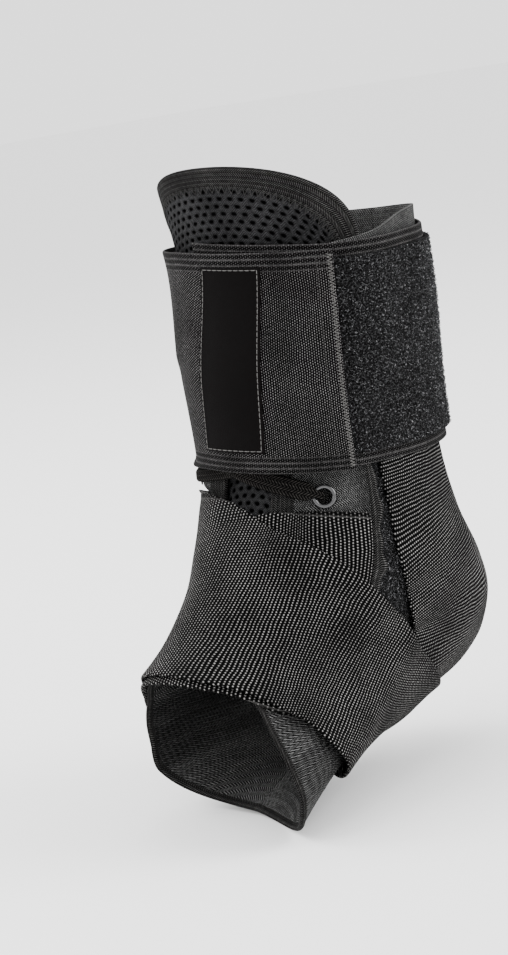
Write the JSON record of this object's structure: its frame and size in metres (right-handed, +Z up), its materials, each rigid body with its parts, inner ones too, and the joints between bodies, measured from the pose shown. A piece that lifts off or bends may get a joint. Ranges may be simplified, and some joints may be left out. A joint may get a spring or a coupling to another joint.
{
  "type": "ankle brace",
  "caption": "Black fabric lace-up ankle brace shaped to a right foot, with a padded tongue, crossing figure-of-eight elastic straps, an open heel and a wrap-around fastening cuff.",
  "frame": {"origin": "the middle of the ankle inside the brace, on the axis of the leg, at the height of the ankle joint", "axes": "+Z up the leg, +X to the inner (medial) side of the right ankle, -Y towards the toes"},
  "size_m": [0.0888, 0.1367, 0.2192],
  "materials": {
    "mesh_cloth": "matt warp-knit spacer mesh",
    "boot_cloth": "matt woven cloth",
    "binding_tape": "matt herringbone woven tape",
    "eyelet_metal": "glossy black enamel",
    "lace_cord": "flat braided cotton",
    "elastic_webbing": "ribbed woven elastic",
    "loop_pile": "brushed loop pile of a touch fastener",
    "satin_label": "smooth woven satin"
  },
  "bodies": {
    "root": {"tongue": "mesh_cloth", "tongue_binding": "binding_tape", "boot_medial": "boot_cloth", "facing_binding_medial": "binding_tape", "boot_lateral": "boot_cloth", "facing_binding_lateral": "binding_tape", "heel_binding": "binding_tape", "toe_binding": "binding_tape", "eyelet_medial_lower": "eyelet_metal", "eyelet_medial_upper": "eyelet_metal", "eyelet_lateral_lower": "eyelet_metal", "eyelet_lateral_upper": "eyelet_metal", "lace_over": "lace_cord", "lace_under": "lace_cord", "strap_first": "elastic_webbing", "strap_second": "elastic_webbing", "pile_medial": "loop_pile", "slit_binding_medial": "binding_tape", "pile_lateral": "loop_pile", "slit_binding_lateral": "binding_tape", "cuff_strap": "elastic_webbing", "cuff_pile": "loop_pile", "label_patch": "satin_label"}
  },
  "joints": []
}
